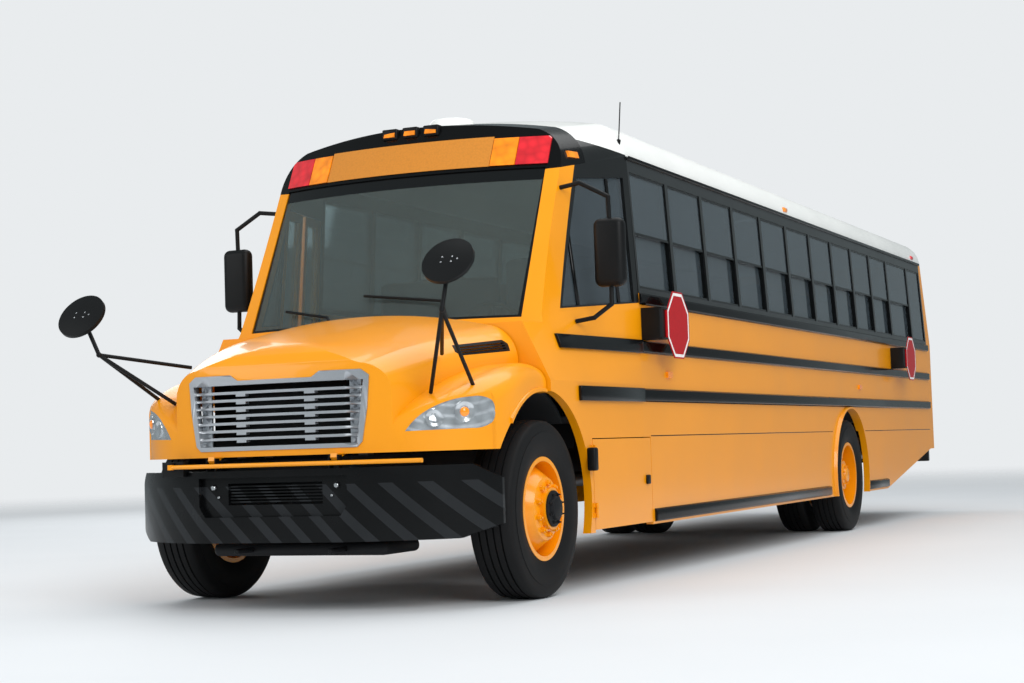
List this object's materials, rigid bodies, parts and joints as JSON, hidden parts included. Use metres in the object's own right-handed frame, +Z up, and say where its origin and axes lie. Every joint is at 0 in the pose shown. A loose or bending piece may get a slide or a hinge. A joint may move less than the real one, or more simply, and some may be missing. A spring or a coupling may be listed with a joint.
{
  "type": "conventional school bus",
  "caption": "Long yellow conventional school bus with a forward hood, split-sash side windows, swing stop signs, entry and emergency doors and dual rear wheels.",
  "frame": {"origin": "on the road under the middle of the bus's bounding box", "axes": "+X forward, +Y to the bus's left (the driver's side), +Z up"},
  "size_m": [12.2423, 2.868, 3.116],
  "materials": {
    "paint": "glossy",
    "roof_paint": "glossy",
    "black": "satin",
    "glass": "glossy",
    "lamp_clear": "glossy",
    "lamp_amber": "glossy",
    "lamp_red": "glossy",
    "sign_amber": "satin",
    "sign_red": "satin",
    "grille_grey": "satin",
    "chassis": "satin",
    "cast": "matte",
    "aluminium": "satin",
    "steel": "satin",
    "floor": "matte",
    "seat": "satin",
    "tyre": "matte"
  },
  "bodies": {
    "body": {"cab_front": "paint", "cab_side_left": "paint", "cab_side_right": "paint", "side_wall_left": "paint", "side_wall_right": "paint", "skirts": "paint", "rear_wall": "paint", "roof": "roof_paint", "roof_cap_front": "black", "window_sashes": "black", "rub_rails": "black", "bumper_front": "black", "bumper_rear": "black", "arm_drives": "black", "side_mirrors": "black", "wipers": "black", "dashboard": "black", "windshield": "glass", "window_glass": "glass", "lamps_amber": "lamp_amber", "lamps_red": "lamp_red", "sign_panel": "sign_amber", "frame": "chassis", "front_axle": "chassis", "rear_axle": "chassis", "leaf_springs": "chassis", "drive_shaft": "chassis", "engine": "cast", "radiator": "aluminium", "fuel_tank": "steel", "exhaust": "steel", "floor": "floor", "seats": "seat"},
    "hood": {"hood": "paint", "grille": "grille_grey", "headlamps": "lamp_clear", "crossview_mirrors": "black"},
    "entry_front": {"entry_leaf_front": "paint", "entry_glass_front": "glass"},
    "entry_rear": {"entry_leaf_rear": "paint", "entry_glass_rear": "glass"},
    "emergency_exit": {"emergency_door": "paint", "emergency_glass": "glass"},
    "access": {"access_door": "paint"},
    "stop_front": {"stop_sign_front": "sign_red"},
    "stop_rear": {"stop_sign_rear": "sign_red"},
    "crossing": {"crossing_arm": "paint"},
    "hatch_front": {"roof_hatch_front": "roof_paint"},
    "hatch_rear": {"roof_hatch_rear": "roof_paint"},
    "steer_left": {"knuckle_left": "chassis"},
    "steer_right": {"knuckle_right": "chassis"},
    "tie": {"tie_rod": "chassis"},
    "wheel_front_left": {"tyre_front_left": "tyre", "rim_front_left": "paint"},
    "wheel_front_right": {"tyre_front_right": "tyre", "rim_front_right": "paint"},
    "wheel_rear_left": {"tyres_rear_left": "tyre", "rim_rear_left": "paint"},
    "wheel_rear_right": {"tyres_rear_right": "tyre", "rim_rear_right": "paint"}
  },
  "joints": [
    {"name": "hood_tilt", "type": "hinge", "parent": "body", "child": "hood", "pos_m": [5.96, 0, 0.845], "axis": [0, 1, 0], "range_deg": [0, 75]},
    {"name": "entry_front_swing", "type": "hinge", "parent": "body", "child": "entry_front", "pos_m": [4.083, -1.227, 0.56], "axis": [0, 0, 1], "range_deg": [0, 90]},
    {"name": "entry_rear_swing", "type": "hinge", "parent": "body", "child": "entry_rear", "pos_m": [3.403, -1.235, 0.56], "axis": [0, 0, -1], "range_deg": [0, 90]},
    {"name": "emergency_swing", "type": "hinge", "parent": "body", "child": "emergency_exit", "pos_m": [-6.056, -0.367, 1.18], "axis": [0, 0, 1], "range_deg": [0, 100]},
    {"name": "access_swing", "type": "hinge", "parent": "body", "child": "access", "pos_m": [4.247, 1.225, 0.47], "axis": [0, 0, -1], "range_deg": [0, 90]},
    {"name": "stop_front_swing", "type": "hinge", "parent": "body", "child": "stop_front", "pos_m": [3.225, 1.352, 1.643], "axis": [0, 0, -1], "range_deg": [0, 90]},
    {"name": "stop_rear_swing", "type": "hinge", "parent": "body", "child": "stop_rear", "pos_m": [-4.14, 1.352, 1.643], "axis": [0, 0, -1], "range_deg": [0, 90]},
    {"name": "crossing_swing", "type": "hinge", "parent": "body", "child": "crossing", "pos_m": [6.003, -0.64, 0.815], "axis": [0, 0, -1], "range_deg": [0, 90]},
    {"name": "hatch_front_lift", "type": "hinge", "parent": "body", "child": "hatch_front", "pos_m": [1.78, 0, 3.088], "axis": [0, 1, 0], "range_deg": [0, 60]},
    {"name": "hatch_rear_lift", "type": "hinge", "parent": "body", "child": "hatch_rear", "pos_m": [-2.756, 0, 3.088], "axis": [0, 1, 0], "range_deg": [0, 60]},
    {"name": "steer_left", "type": "hinge", "parent": "body", "child": "steer_left", "pos_m": [4.92, 0.872, 0.51], "axis": [0, 0, 1], "range_deg": [-38, 38]},
    {"name": "steer_right", "type": "hinge", "parent": "body", "child": "steer_right", "pos_m": [4.92, -0.872, 0.51], "axis": [0, 0, 1], "range_deg": [-38, 38]},
    {"name": "tie_rod_pivot", "type": "hinge", "parent": "steer_left", "child": "tie", "pos_m": [4.74, 0.872, 0.385], "axis": [0, 0, 1], "range_deg": [-38, 38]},
    {"name": "roll_front_left", "type": "hinge", "parent": "steer_left", "child": "wheel_front_left", "pos_m": [4.92, 1.045, 0.51], "axis": [0, 1, 0], "continuous": true},
    {"name": "roll_front_right", "type": "hinge", "parent": "steer_right", "child": "wheel_front_right", "pos_m": [4.92, -1.045, 0.51], "axis": [0, 1, 0], "continuous": true},
    {"name": "roll_rear_left", "type": "hinge", "parent": "body", "child": "wheel_rear_left", "pos_m": [-2.167, 1.078, 0.51], "axis": [0, 1, 0], "continuous": true},
    {"name": "roll_rear_right", "type": "hinge", "parent": "body", "child": "wheel_rear_right", "pos_m": [-2.167, -1.078, 0.51], "axis": [0, 1, 0], "continuous": true}
  ],
  "couplings": [
    {"joint": "steer_right", "follows": "steer_left", "ratio": 1},
    {"joint": "tie_rod_pivot", "follows": "steer_left", "ratio": -1}
  ]
}
